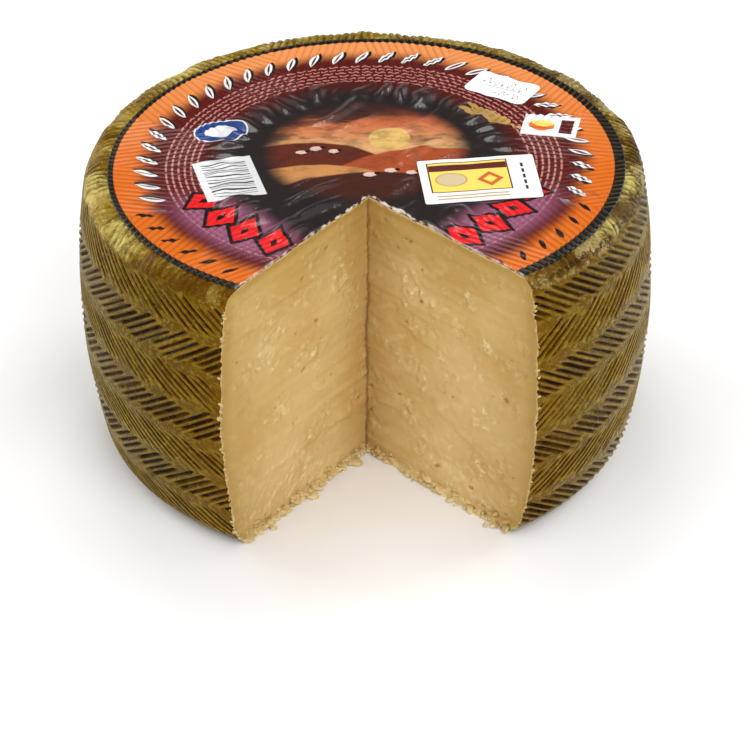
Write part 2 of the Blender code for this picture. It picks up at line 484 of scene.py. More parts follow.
# The rind: seven rows of slanted slots from the plaited band, and a ridged rim above them. The slots' draws are the
# limits of their place, width, depth, start and end.
rind = {
    "slots": 148,
    "columnsPerSlot": 8,
    "topRadii": (62.0, 78.0, 83.0, 84.4, 85.6, 86.7),
    "shoulderRows": 9,
    "wallRows": 62,
    "footRows": 6,
    "baseRadii": (78.0, 60.0),
    "bandRows": 7,
    "bandTop": 99.6,
    "bandHeight": 13.8,
    "slope": math.radians(34),
    "bundle": 4,
    "bundleStep": 0.22,
    "slotDraws": ((0.42, 0.58), (0.75, 1.25), (0.5, 1.2), (-0.03, 0.08), (-0.08, 0.03)),
    "slotSpan": (0.02, 0.78),
    "slotDepth": 0.8,
    "slotWidths": (0.38, 0.54),
    "ridgeSwell": 0.20,
    "wallFade": (6.5, 2.5),
    "rimFrom": 50.0,
    "rimRadii": (82.5, 84.5),
    "rimDepth": 0.8,
    "levelRadii": (82.0, 84.4),
    "lumpRadii": (85.0, 90.0),
    "knobRadii": (87.0, 91.0),
    "knob": 0.6,
    "pore": 0.08,
    "seed": 5,
}
slotPitch = 2 * math.pi * wheel["radius"] / rind["slots"] * math.sin(rind["slope"])


def plaitShift(z):
    run = rind["bandHeight"] / math.tan(rind["slope"])
    down = np.clip((rind["bandTop"] - z) / rind["bandHeight"], 0.0, float(rind["bandRows"]))
    leg = down % 2.0
    return run * np.where(leg <= 1.0, leg, 2.0 - leg)


def plaitRelief(across, z, points):
    # across counts slots round the wall. Gives the push inwards, how far inside a slot's edge the point lies and
    # how fresh the slot is there.
    draw = random.Random(rind["seed"])
    place, width, depth, start, end = (
        np.array([[draw.uniform(*limits) for _ in range(rind["slots"])] for _ in range(rind["bandRows"])])
        for limits in rind["slotDraws"]
    )
    down = (rind["bandTop"] - z) / rind["bandHeight"]
    band = np.clip(np.floor(down).astype(int), 0, rind["bandRows"] - 1)
    within = down - band
    rising = band % 2
    across = across + 0.5 * rising
    slot = np.floor(across).astype(int) % rind["slots"]
    away = np.abs(across % 1.0 - place[band, slot])
    bundle = (slot + 2 * (band // 2)) % rind["bundle"] / rind["bundle"]
    lag = rind["bundleStep"] * np.where(rising == 1, bundle, 1 - bundle)
    high, low = rind["slotSpan"]
    first = np.maximum(high + lag + start[band, slot], high)
    last = np.minimum(low + lag + end[band, slot], 1 - high)
    # The rising slots are the bolder ones on the left of the wheel, the falling ones on the right
    lean = smoothStep(-50.0, 50.0, points[:, 0])
    bold = np.where(rising == 1, 1 - lean, lean)
    narrow, wide = rind["slotWidths"]
    half = (narrow + (wide - narrow) * bold) * width[band, slot] / 2
    ends = np.minimum(within - first, last - within) * rind["bandHeight"] / math.sin(rind["slope"])
    inside = (down > 0) & (down < rind["bandRows"])
    depthIn = np.where(inside, np.minimum((half - away) * slotPitch, 0.5 * ends), -2.0)
    wear = np.clip(0.85 + 0.30 * bold + 0.60 * noiseAt(points, 24.0, 1.0), 0.0, 1.15)
    strength = depth[band, slot] * wear
    swell = np.cos(2 * math.pi * (away - 0.5)) * np.sqrt(np.sin(math.pi * np.clip(within, 0, 1))) * inside
    push = rind["slotDepth"] * smoothStep(-0.15, 0.30, depthIn) * strength
    push -= rind["ridgeSwell"] * swell * (0.1 + 0.3 * np.clip(wear, 0, 1) + 0.6 * bold)
    return push, depthIn, smoothStep(0.15, 0.6, strength)


def rimShares(radius, z):
    # Shares of the plaited wall and of the ridged rim at a place on the skin
    start, end = rind["wallFade"]
    wall = 1 - smoothStep(wheel["height"] - start, wheel["height"] - end, z)
    return wall, smoothStep(*rind["rimRadii"], radius) * (1 - wall) * (z > rind["rimFrom"])


def rimValley(points):
    # The pressed ridges run on over the rim, worn in places and fainter towards the front
    x, y, _ = points.T
    valley = (1 - pressedRidge(x, y)) ** 1.8 * np.clip(0.95 + 0.9 * noiseAt(points, 11.0, 3.0), 0.1, 1.4)
    front = smoothStep(10.0, -50.0, y)
    outward = smoothStep(86.0, 94.0, np.hypot(x, y))
    return valley * (1 - 0.5 * front) * (1 - 0.25 * outward)


def makeSkin():
    outline = turnedOutline(rind)
    skin, row, column, angle, radius, z = ringedTube("rind", rind["slots"] * rind["columnsPerSlot"], outline)
    run = np.gradient(outline, axis=0)
    run /= np.linalg.norm(run, axis=1)[:, None]
    angle = angle - math.pi / 2 + plaitShift(z) / wheel["radius"]
    points = together(radius * np.cos(angle), radius * np.sin(angle), z)
    push = plaitRelief(column / rind["columnsPerSlot"], z, points)[0]
    wall, rim = rimShares(radius, z)
    shoulder = smoothStep(*rind["knobRadii"], radius) * (z > rind["rimFrom"]) * (1 - 0.85 * wall)
    lumpy = noiseAt(points, 22.0, 6.0) * smoothStep(*rind["lumpRadii"], radius)
    move = -push * wall * (0.4 + 0.6 * smoothStep(0.5, 4.0, cutPlaces(points)[0]))
    move -= rind["rimDepth"] * rim * rimValley(points)
    move += shoulder * rind["knob"] * (noiseAt(points, 8.0, 4.0) + 0.25 * noiseAt(points, 2.8, 5.0) - 0.5)
    move += wheel["lump"] * lumpy * (1 - 0.7 * wall)
    move += rind["pore"] * noiseAt(points, 1.6, 7.0) * (z > 0.1) * (1 - 0.5 * wall)
    # The top face isn't raised, and stays flat under the label
    top = z > wheel["height"] - 0.01
    move = np.where(top, np.minimum(move, 0.0) * smoothStep(*rind["levelRadii"], radius), move)
    radius = radius - move * run[row, 1]
    writePoints(skin, radius * np.cos(angle), radius * np.sin(angle), np.maximum(z + move * run[row, 0], 0.0))
    fixNormals(skin)
    return skin


# The paste inside the rind, still whole
core = {
    "columns": 144,
    "topRadii": (60.0,),
    "shoulderRows": 4,
    "wallRows": 12,
    "footRows": 4,
    "baseRadii": (60.0,),
}


def makeCore():
    paste, *_, angle, radius, z = ringedTube("paste", core["columns"], turnedOutline(core))
    radius = np.where(radius > core["topRadii"][0] + 1, radius - wheel["rindDepth"], radius)
    middle = wheel["height"] / 2
    z = middle + (z - middle) * (middle - wheel["rindDepth"]) / middle
    writePoints(paste, radius * np.cos(angle), radius * np.sin(angle), z)
    fixNormals(paste)
    return paste


# The cut faces: torn, with eyes, cracks and a crumbly foot. Each ledge has its cut, which is 0 at the left and 1 at
# the right, its start, its end and its depth.
tears = {
    "sway": 0.3,
    "wave": 0.35,
    "drag": 0.09,
    "grain": 0.20,
    "eyes": 30,
    "seamEyes": 14,
    "eyeWidths": (0.5, 1.7),
    "footHeight": 6.0,
    "footChips": 1.5,
    "footLumps": 1.9,
    "flake": 0.30,
    "lean": (0.75, -0.2),
    "seed": 21,
    "ledges": (
        (0, (1, 17), (21, 24), 0.55), (0, (30, 67), (69, 86), 0.30),
        (0, (40, 30), (60, 50), 0.30), (0, (22, 78), (44, 90), 0.25),
        (1, (2, 22), (17, 25), 0.50), (1, (14, 60), (38, 54), 0.30),
        (1, (30, 34), (62, 22), 0.30), (1, (4, 82), (22, 76), 0.25),
    ),
}


def spotsOn(side, along, up):
    # Places on a cut for its noise, which differs between the two
    return together(along, up, side * 40.0)


def bySide(side, relief, along, up):
    # What a relief gives on the cut that each point lies on
    return np.where(side == 0, relief(along, up, 0), relief(along, up, 1))


def eyeDents(along, up, side):
    # How deep the eyes are at each place, and how far inside an eye it lies. The last eyes are at the inner edge.
    draw = random.Random(tears["seed"] + side)
    dents = np.zeros((2, len(along)))
    for number in range(tears["eyes"] + tears["seamEyes"]):
        width = draw.uniform(*tears["eyeWidths"]) * draw.choice((0.5, 0.6, 0.8, 1.0))
        place = (draw.uniform(2, 70), draw.uniform(5, 98))
        if number >= tears["eyes"]:
            place = (draw.uniform(0.3, 1.8), draw.uniform(8, 98))
        height = width * draw.uniform(0.3, 0.7)
        turn = draw.uniform(-0.7, 0.7)
        deep = width * draw.uniform(0.3, 0.55)
        x, y = turnBy(along - place[0], up - place[1], -turn)
        dent = np.clip(1.3 - (x / width) ** 2 - (y / height) ** 2, 0.0, 1.0)
        dents = np.maximum(dents, (dent * deep, dent))
    return dents


def crumbly(along, up, side):
    # 0 where the knife went smoothly, 1 where the paste crumbled
    spots = spotsOn(side, along, up)
    foot = 1 - smoothStep(2.0, 42.0, up)
    outer = smoothStep(25.0, 70.0, along) * (1 - side * 0.6)
    torn = 0.9 * noiseAt(spots, 9.0, 19.0) + 0.5 * noiseAt(spots, 4.0, 20.0) + 0.55 * foot * outer
    return smoothStep(0.05, 0.75, torn)


def ledges(along, up, side):
    # Long shallow steps that the knife left: 1 at the top of the step, fading above it
    sway = 0.9 * noiseAt(spotsOn(side, along, up), 6.0, 26.0)
    total = np.zeros_like(along)
    for where, start, end, proud in tears["ledges"]:
        if where == side:
            length = math.dist(start, end)
            x, y = turnBy(along - start[0], up - start[1], -math.atan2(end[1] - start[1], end[0] - start[0]))
            ends = smoothStep(0.0, 4.0, x) * (1 - smoothStep(length - 8.0, length, x))
            y = y + sway
            total = np.maximum(total, proud * ends * smoothStep(-0.4, 0.4, y) * (1 - smoothStep(0.4, 6.0, y)))
    return total


def tearOffset(along, up, side):
    # How far the torn paste stands proud of the knife's plane
    spots = spotsOn(side, along, up)
    x, y = turnBy(along, up, -tears["lean"][side])
    offset = tears["wave"] * noiseAt(spots, 19.0, 1.0)
    offset += tears["drag"] * noiseAt(together(x * 0.3, y, spots[:, 2]), 2.6, 2.0)
    grain = noiseAt(spots, 1.7, 3.0) + 0.8 * noiseAt(spots, 3.5, 6.0)
    offset += tears["grain"] * grain * (0.35 + 1.1 * crumbly(along, up, side))
    flaky = together((along - up) * 0.4, (along + up) * 0.7, spots[:, 2])
    flakes = (1 - smoothStep(4.0, 38.0, up)) * smoothStep(8.0, 45.0, along) * (1 - 0.5 * side)
    offset += tears["flake"] * flakes * noiseAt(flaky, 1.9, 27.0)
    offset += ledges(along, up, side) - eyeDents(along, up, side)[0]
    foot = 1 - smoothStep(0.0, tears["footHeight"], up)
    offset -= tears["footChips"] * foot * np.clip(noiseAt(spots, 3.2, 4.0) + 0.2, 0.0, 1.0)
    return offset + tears["footLumps"] * foot**2 * np.clip(noiseAt(spots, 2.4, 5.0), 0.0, 1.0)


def edgePlace(z):
    # Where the inner edge of the missing wedge is at each height
    share = (z / wheel["height"])[:, None]
    level = together(z, 0.0, 0.0)
    sway = together(noiseAt(level, 5.0, 22.0) + 0.6 * noiseAt(level, 1.9, 23.0), noiseAt(level, 3.0, 24.0))
    return np.array(cut["edgeBase"]) * (1 - share) + np.array(cut["edgeTop"]) * share + tears["sway"] * sway


def makeWedge(name, cells, low, height, level=None):
    # The missing wedge as a solid: a sheet folded at the inner edge, closed behind. The one for the film has
    # a level, whose tears it follows, and is more ragged.
    wedge, across, up = makeSheet(name, *cells)
    across = across * 2 * cut["length"]
    along = np.abs(across)
    z = (up + 0.5) * height + low
    side = (across >= 0).astype(int)
    level = z if level is None else np.full_like(z, level)
    # Outward from each face, into the missing wedge
    offset = bySide(side, tearOffset, along, level)
    if level is not z:
        spots = together(across, level, level)
        offset += np.clip(0.5 * noiseAt(spots, 2.6, 15.0) + 0.4 * noiseAt(spots, 7.0, 16.0), -0.8, 0.5) - 0.1
    offset *= smoothStep(0.0, 2.0, along) * np.where(side == 0, 1.0, -1.0)
    x, y = edgePlace(level).T + turnBy(along, offset, np.where(side == 0, cut["left"], cut["right"]))
    writePoints(wedge, x, y, z)
    for chosen in (z > z.max() - 1e-3, z < z.min() + 1e-3, along > cut["length"] - 1e-3):
        editMesh(wedge, bpy.ops.mesh.edge_face_add, chosen)
    fixNormals(wedge)
    return wedge


def makeKnife():
    height = wheel["height"] + 2 * cut["overshoot"]
    cells = (2 * round(cut["length"] / cut["cell"]), round(height / cut["cell"]))
    return makeWedge("missingWedge", cells, -cut["overshoot"], height)


def cutPlaces(points):
    # Distance of each point from the nearer cut, how far along the cut it lies and which cut it is
    away = (points[:, :2] - edgePlace(points[:, 2])).T
    found = []
    for direction in (cut["left"], cut["right"]):
        along, square = turnBy(*away, -direction)
        found.append((np.where(along < 0, np.hypot(square, along), np.abs(square)), along))
    side = (found[1][0] < found[0][0]).astype(int)
    return (*np.where(side, found[1], found[0]), side)


def markRind(obj):
    # Each point's place in the plait, and how deep between the strands it is
    points = readPoints(obj)
    x, y, z = points.T
    turn = np.arctan2(y, x) - plaitShift(z) / wheel["radius"] + math.pi / 2
    across = turn % (2 * math.pi) / (2 * math.pi) * rind["slots"]
    wall, rim = rimShares(np.hypot(x, y), z)
    depthIn, fresh = plaitRelief(across, z, points)[1:]
    band = np.floor((rind["bandTop"] - z) / rind["bandHeight"])
    writeAttributes(
        obj,
        slot=depthIn - 2.0 * (1 - wall),
        fresh=fresh,
        front=smoothStep(-20.0, -75.0, y),
        rim=rim,
        valley=np.clip(rimValley(points), 0.0, 1.0) * rim,
        nearCut=1 - smoothStep(0.0, 30.0, cutPlaces(points)[0]),
        strand=together(across * slotPitch, z / math.sin(rind["slope"]), 50.0 * band),
    )


def markPaste(obj):
    # Each point's place on its cut face, how deep in an eye it is and how far below the crust
    points = readPoints(obj)
    x, y, z = points.T
    along, side = cutPlaces(points)[1:]
    crust = np.minimum(wallRadius(np.clip(z, 0, wheel["height"])) - np.hypot(x, y), wheel["height"] - z)
    writeAttributes(
        obj,
        hollow=bySide(side, eyeDents, along, z)[1],
        crust=np.maximum(crust, 0.0),
        base=z,
        inner=along,
        flaky=(1 - smoothStep(8.0, 44.0, z)) * smoothStep(5.0, 40.0, along) * (1 - 0.5 * side),
        crumbly=bySide(side, crumbly, along, z),
        face=together(along, z, 60.0 * side),
    )


def makePasteMaterial():
    material, tree, shader = startMaterial("cheesePaste", Roughness=0.5, Specular_IOR_Level=0.25)
    face = read(tree, "face", 1)
    crust, inner, foot, hollow, flaky, crumbled = (
        read(tree, name) for name in ("crust", "inner", "base", "hollow", "flaky", "crumbly")
    )
    cloudy = texture(face, 0.035, 3.0)
    fleck = ramp(texture(face, 0.34, 4.0, 0.7), 0.51, 0.64)
    flake = ramp(texture(slant(face, 0.79), 1.0, 3.0, 0.7, stretch=(0.2, 0.42, 1)), 0.54, 0.62)
    shade = ramp(texture(face, 0.45, 3.0, 0.6, shift=(9, 4, 1)), 0.54, 0.72)
    smear = ramp(texture(slant(face, -0.6), 1.0, 3.0, stretch=(0.035, 0.16, 1)), 0.52, 0.66)
    broken = ramp(texture(face, 0.12, 3.0, 0.6, shift=(3, 8, 5)), 0.45, 0.62)
    ragged = multiply(texture(face, 0.5, 3.0, 0.6, stretch=(1, 0.5, 1), shift=(2, 6, 3)), 3.2)
    fray = multiply(texture(face, 0.35, 4.0, 0.75), 4.0)
    base = tint(
        blend(ramp(cloudy, 0.35, 0.68), (205, 175, 118), (196, 160, 98)),
        ((226, 208, 158), fleck, crumbled, 0.85),
        # Pale flakes lie slanted across the lower outer part
        ((226, 208, 156), flake, flaky, 0.65),
        ((176, 132, 72), shade, crumbled, 0.3),
        # Long soft smears that the knife drew upwards to the rind
        ((222, 198, 146), smear, broken, 0.45),
        # Drier and darker under the crust
        ((166, 131, 62), ramp(crust, 0.0, 30.0, 0.65, 0.0)),
        ((160, 126, 58), ramp(add(crust, multiply(cloudy, 5.0)), 3.0, 9.0, 0.6, 0.0)),
        # Painted shade, darker towards the inner corner, and a painted shadow as a ragged dark line along it
        ((168, 128, 66), ramp(inner, 0.0, 20.0, 0.55, 0.0)),
        ((122, 80, 30), ramp(minus(inner, ragged), -1.5, -0.5, 0.6, 0.0)),
        # Painted shade in the eyes
        ((150, 92, 36), ramp(hollow, 0.25, 0.9, 0.0, 0.65)),
        # Paler at the crumbly foot and along the frayed crust
        ((224, 204, 150), ramp(minus(foot, multiply(fleck, 2.5)), 0.5, 4.0, 0.7, 0.0)),
        ((212, 194, 142), ramp(minus(crust, fray), -2.2, -1.0, 0.65, 0.0)),
    )
    grain = multiply(texture(face, 1.3, 3.0, 0.6), add(multiply(crumbled, 0.8), 0.25))
    feed(shader, Base_Color=base, Normal=bumps(grain, 0.5, 0.6))
    return material


# Pale worn places on the rim, each with centre, half size and turn in degrees
wornPlaces = (
    ((-90.0, -12.0), (5.0, 8.0), 8), ((-80.0, -43.0), (4.5, 10.0), 32), ((-64.0, 63.0), (4.0, 12.0), -45),
    ((88.0, -18.0), (2.5, 8.0), -12), ((79.0, -45.0), (2.5, 7.0), -30),
)


def colourRim(tree, place, x, fine, right):
    # The rim is patchy, with pale worn places, and painted shade as thin dark lines between its ridges
    swirl = vector("MULTIPLY_ADD", texture(place, 0.16, 4.0, 0.7, out=1), (20.0, 20.0, 0.0), (-10.0, -10.0, 0.0))
    ragged = vector("ADD", swirl, place)
    patch = texture(ragged, 0.085, 3.0, 0.55, shift=(4, 9, 2))
    blotch = texture(ragged, 0.11, 2.0, 0.5, shift=(7, 3, 5))
    # Streaks run over it, across its ridges' tops
    outward = vector("NORMALIZE", vector("MULTIPLY", place, (1, 1, 0)))
    slow = vector("MULTIPLY", place, (0.05, 0.05, 0.25))
    streak = texture(vector("MULTIPLY_ADD", outward, (85.0, 85.0, 0.0), slow), 0.55, 4.0, 0.7)
    rim = tint(
        blend(ramp(patch, 0.40, 0.47), (104, 76, 4), (160, 130, 26)),
        ((196, 170, 84), ramp(patch, 0.53, 0.57, 0.0, 0.9)),
        ((190, 162, 74), ramp(streak, 0.52, 0.62, 0.0, 0.45)),
        ((72, 46, 0), ramp(streak, 0.38, 0.48, 0.6, 0.0)),
        # Duller at the right, browner next to the cut, a little more so at the right where it is painted shadow, and
        # blotched at the right
        ((92, 78, 30), right, 0.4),
        ((92, 48, 0), read(tree, "front"), ramp(patch, 0.44, 0.58, 1.0, 0.6), ramp(x, -20.0, 20.0, 0.8, 0.95)),
        ((190, 174, 112), ramp(blotch, 0.53, 0.57), right, 0.75),
        ((52, 32, 0), ramp(blotch, 0.49, 0.44), right, 0.8),
        ((78, 52, 0), ramp(fine, 0.40, 0.64, 0.55, 0.0)),
    )
    worn = ramp(add(streak, multiply(fine, 0.5)), 0.60, 0.84, 0.1, 0.75)
    for centre, half, turn in wornPlaces:
        rim = paint(rim, ragged, "ellipse", centre, half, (214, 199, 112), turn, 0.5, worn)
    # Painted shade in the valleys between the ridges
    return tint(rim, ((72, 48, 0), read(tree, "valley"), 0.85))


def makeRindMaterial():
    material, tree, shader = startMaterial(
        "cheeseRind", Specular_IOR_Level=0.06, Specular_Tint=(1.0, 0.74, 0.34, 1),
        Sheen_Weight=0.6, Sheen_Roughness=0.14, Sheen_Tint=(0.93, 0.91, 0.68, 1),
    )
    place = placeInMm(tree)
    x, _, z = parts(place)
    right = ramp(x, 20.0, 80.0)
    fibre = texture(read(tree, "strand", 1), 1.0, 4.0, 0.65, stretch=(1.1, 0.07, 1))
    fine = texture(place, 0.9, 4.0, 0.7)
    wall = tint(
        blend(ramp(fibre, 0.32, 0.68), (80, 55, 0), (113, 86, 10)),
        ((106, 88, 14), ramp(texture(place, 0.05, 3.0), 0.42, 0.66, 0.0, 0.55)),
        ((168, 140, 26), ramp(texture(place, 0.5, 4.0, 0.65), 0.50, 0.66), 0.6),
        ((54, 34, 0), ramp(fine, 0.40, 0.66, 0.4, 0.0)),
        ((120, 78, 0), read(tree, "nearCut"), 0.4),
    )
    skin = blend(ramp(read(tree, "rim"), 0.15, 0.75), wall, colourRim(tree, place, x, fine, right))
    wander = multiply(minus(texture(place, 0.17, 5.0, 0.75, shift=(6, 2, 9)), 0.5), 13.0)
    offBrink = calc("ABSOLUTE", minus(add(z, wander), 100.0))
    inSlot = add(read(tree, "slot"), multiply(minus(fine, 0.5), 0.5))
    fresh = read(tree, "fresh")
    ridge = multiply(ramp(inSlot, -0.15, -0.42), ramp(inSlot, -1.1, -0.6), fresh)
    # How strongly the painted shade in the slots shows, varying at random over the wall
    slotShade = multiply(fresh, ramp(texture(place, 0.09, 4.0, 0.6, shift=(3, 1, 8)), 0.38, 0.56, 0.5, 1.0))
    skin = tint(
        skin,
        # Painted shade as a dark ragged line where the rim meets the wall at the right
        ((40, 22, 0), ramp(offBrink, 0.1, 0.8, 0.9, 0.0), right),
        # Painted shade in the slots, darkest in their middles, and pale flecks over everything
        # Painted highlight on the ridges between the slots
        ((154, 122, 38), ridge, ramp(fibre, 0.38, 0.6), 0.5),
        ((68, 38, 0), ramp(inSlot, -0.2, 0.05), slotShade, 0.85),
        ((36, 16, 0), ramp(inSlot, 0.0, 0.22), slotShade, 0.95),
        ((168, 148, 84), ramp(texture(place, 1.1, 3.0, 0.7, shift=(5, 2, 7)), 0.62, 0.70, 0.0, 0.55)),
    )
    relief = bumps(add(multiply(fibre, 0.2), fine), 0.8, 0.6)
    feed(shader, Base_Color=skin, Roughness=ramp(inSlot, -0.2, 0.1, 0.45, 0.85), Normal=relief)
    return material


def makeCheese():
    skin = makeSkin()
    skin.data.materials.append(makeRindMaterial())
    print("skin turned and pressed", len(skin.data.polygons))
    paste = makeCore()
    knife = makeKnife()
    pasteMaterial = makePasteMaterial()
    for obj in (paste, knife):
        obj.data.materials.append(pasteMaterial)
    print("knife ready", len(knife.data.polygons))
    cutAway(skin, paste)
    for obj in (skin, paste):
        cutAway(obj, knife)
        markPaste(obj)
        shadeSmooth(obj, 50)
    markRind(skin)
    bpy.data.objects.remove(knife)
    standFor(skin, "cheese")
    standFor(paste, "cheese")
    print("wheel cut", len(skin.data.polygons), len(paste.data.polygons))
    return pasteMaterial


# The two paper stickers that lie on the film
stickers = {
    "seal": {
        "name": "sealSticker",
        "centre": (38.5, -15.3),
        "size": (39.2, 27.6),
        "turn": 5.0,
        "corner": 0.8,
        "wobble": 0.1,
    },
    "tag": {
        "name": "batchTag",
        "centre": (48.7, 46.0),
        "size": (23.8, 14.6),
        "turn": -33.0,
        "corner": 2.2,
        "wobble": 0.5,
    },
    "cell": 0.5,
    "lift": 0.34,
    "thickness": 0.14,
    "relief": 0.3,
    "curl": 0.12,
}


# The film label, pressed over the ridges of the top and torn along the cuts
film = {
    "centre": (0.9, -3.0),
    "radius": 86.9,
    "columns": 900,
    "outerStep": 0.64,
    "innerStep": 1.3,
    "innerRadius": 0.6,
    "underRadii": (84.5, 82.0, 79.0),
    "gap": 0.02,
    "plainRadius": 54.0,
    "ridge": 0.45,
    "puffRadius": 49.0,
    "puffWidth": 7.5,
    "puffs": 40,
    "puff": 1.6,
    "crease": 1.5,
    "creaseTurn": 0.9,
    "creasePitch": 10.0,
    "crinkle": 0.13,
    "thickness": 0.15,
    "wedgeCells": (360, 1),
    "wedgeHeight": 12.0,
}


def underSticker(x, y):
    # 1 under a sticker, where the film lies flatter
    under = np.zeros_like(x)
    for settings in (stickers["seal"], stickers["tag"]):
        centre, size = settings["centre"], settings["size"]
        away = turnBy(x - centre[0], y - centre[1], -math.radians(settings["turn"]))
        past = np.maximum(np.abs(away[0]) - size[0] / 2, np.abs(away[1]) - size[1] / 2)
        under = np.maximum(under, 1 - smoothStep(0.5, 4.0, past))
    return under


def filmRelief(x, y):
    points = together(x, y, 0.0)
    awayX = x - pressed["centre"][0]
    awayY = y - pressed["centre"][1]
    radius = np.hypot(awayX, awayY)
    outer = smoothStep(film["plainRadius"] - 4, film["plainRadius"] + 4, radius)
    relief = film["ridge"] * outer * pressedRidge(x, y) * np.clip(0.85 + 0.4 * noiseAt(points, 16.0, 8.0), 0.3, 1.2)
    # Puffs in a ring round the middle, and creases across it
    ring = np.clip(1 - np.abs(radius - film["puffRadius"]) / film["puffWidth"], 0.0, 1.0) ** 0.7
    puffed = np.clip(0.7 + 0.8 * noiseAt(points, 18.0, 25.0), 0.1, 1.0)
    wave = np.cos(film["puffs"] * np.arctan2(awayY, awayX) + 2.2 * noiseAt(points, 12.0, 9.0))
    relief += film["puff"] * ring * puffed * (0.5 + 0.5 * wave)
    folded = turnBy(x, y, film["creaseTurn"])[0] * 0.8 + 4.5 * noiseAt(points, 26.0, 10.0)
    crease = smoothStep(0.30, 0.02, np.abs((folded / film["creasePitch"]) % 1.0 - 0.5))
    crease *= np.clip(0.35 + noiseAt(points * (1, 0.5, 1), 20.0, 11.0), 0.0, 1.0)
    relief += film["crease"] * crease * (1 - outer)
    relief += film["crinkle"] * (1 + noiseAt(points, 5.0, 12.0)) * (1 - 0.5 * outer)
    return relief * (1 - 0.85 * underSticker(x, y))


def makeFilm():
    inner = np.arange(film["innerRadius"], film["plainRadius"], film["innerStep"])
    outer = np.arange(film["plainRadius"], film["radius"] - 0.3, film["outerStep"])
    outline = [(radius, 1.0) for radius in (*inner, *outer, film["radius"] - 0.15)] + [(film["radius"], 0.5)]
    outline += [(radius, 0.0) for radius in (film["radius"], *film["underRadii"], film["innerRadius"])]
    label, *_, angle, radius, lift = ringedTube("labelFilm", film["columns"], np.array(outline))
    x = film["centre"][0] + radius * np.cos(angle)
    y = film["centre"][1] + radius * np.sin(angle)
    writePoints(label, x, y, topHeight(np.hypot(x, y)) + film["gap"] + lift * (film["thickness"] + filmRelief(x, y)))
    fixNormals(label)
    low = wheel["height"] - film["wedgeHeight"] / 2
    wedge = makeWedge("filmWedge", film["wedgeCells"], low, film["wedgeHeight"], wheel["height"])
    cutAway(label, wedge)
    bpy.data.objects.remove(wedge)
    points = readPoints(label)
    x, y, _ = points.T
    distance, along, side = cutPlaces(points)
    edge = 0.3 + 1.0 * noiseAt(points, 3.0, 13.0) + 0.8 * noiseAt(points, 1.3, 14.0)
    edge *= (1 - smoothStep(12.0, 36.0, along)) * (1 - 0.4 * side)
    writeAttributes(
        label,
        press=pressedRidge(x, y) * smoothStep(50.0, 56.0, np.hypot(x, y)),
        torn=1 - smoothStep(-0.35, 0.35, distance - edge - 0.12),
    )
    label.data.materials.clear()
    label.data.materials.append(makeFilmMaterial())
    shadeSmooth(label, 60)
    standFor(label, "label")
    print("label", len(label.data.polygons))


# The label's print. A dashed ring has a radius and a number of dashes, a sheep its place and half length.
design = {
    "rings": ((55.9, 70.0), (58.0, 118.0), (60.1, 96.0), (62.2, 84.0), (64.3, 140.0), (66.4, 108.0)),
    "leaves": 54.0,
    "sheep": ((-16, 7.0, 2.1), (-10, 5.2, 1.8), (-21, 5.0, 1.9), (9, -8.0, 2.1), (16, -9.4, 1.9), (2, -10.6, 2.2)),
    "lozengeRadius": 57.5,
    "lozengeTurns": (203, 215, 227, 239, 304, 315.5, 327.5, 339.5),
    "patch": (-45.0, -11.5),
    "barSeed": 4,
    "oval": (-48.5, 19.5),
    "corn": (49.0, 22.0),
}


def printBackground(place, radius, angle):
    # Maroon to orange with dashed rings, and a ring of leaves that turns from white to black towards the front
    depth = parts(place)[1]
    back = ramp(depth, -34.0, -22.0)
    edge = add(radius, multiply(minus(texture(place, 0.07, 3.0), 0.5), 6.0))
    orange = blend(ramp(depth, -20.0, 84.0, 0.0, 0.75), "orange", "apricot")
    ink = blend(ramp(edge, 44.0, 58.0), "charcoal", "maroon")
    ink = tint(ink, (orange, ramp(edge, 70.5, 78.5)), ("black", ramp(radius, 83.9, 84.3)))
    for middle, count in design["rings"]:
        line = shape("ring", Radius=radius, Middle=middle, Half=0.34, Soft=0.16)
        dash = ramp(calc("FRACT", multiply(angle, count)), 0.16, 0.24)
        ink = tint(ink, ("rose", line, dash, 0.75))
    # White leaves at the back, between their shadows and their veins, and black ones at the front
    for share, shift, tone, middle, long, wide in (
        (back, 0.0018, "black", 73.2, 4.4, 1.8), (back, 0.0, "white", 73.2, 4.1, 1.5),
        (back, 0.0, "maroon", 73.2, 3.4, 0.45), (minus(1, back), 0.0, "black", 78.6, 2.9, 1.1),
    ):
        leaf = shape(
            "leaves", Radius=radius, Angle=add(angle, shift), Count=design["leaves"],
            Middle=middle, Long=long, Wide=wide, Slant=0.55,
        )
        ink = tint(ink, (tone, leaf, share))
    return ink


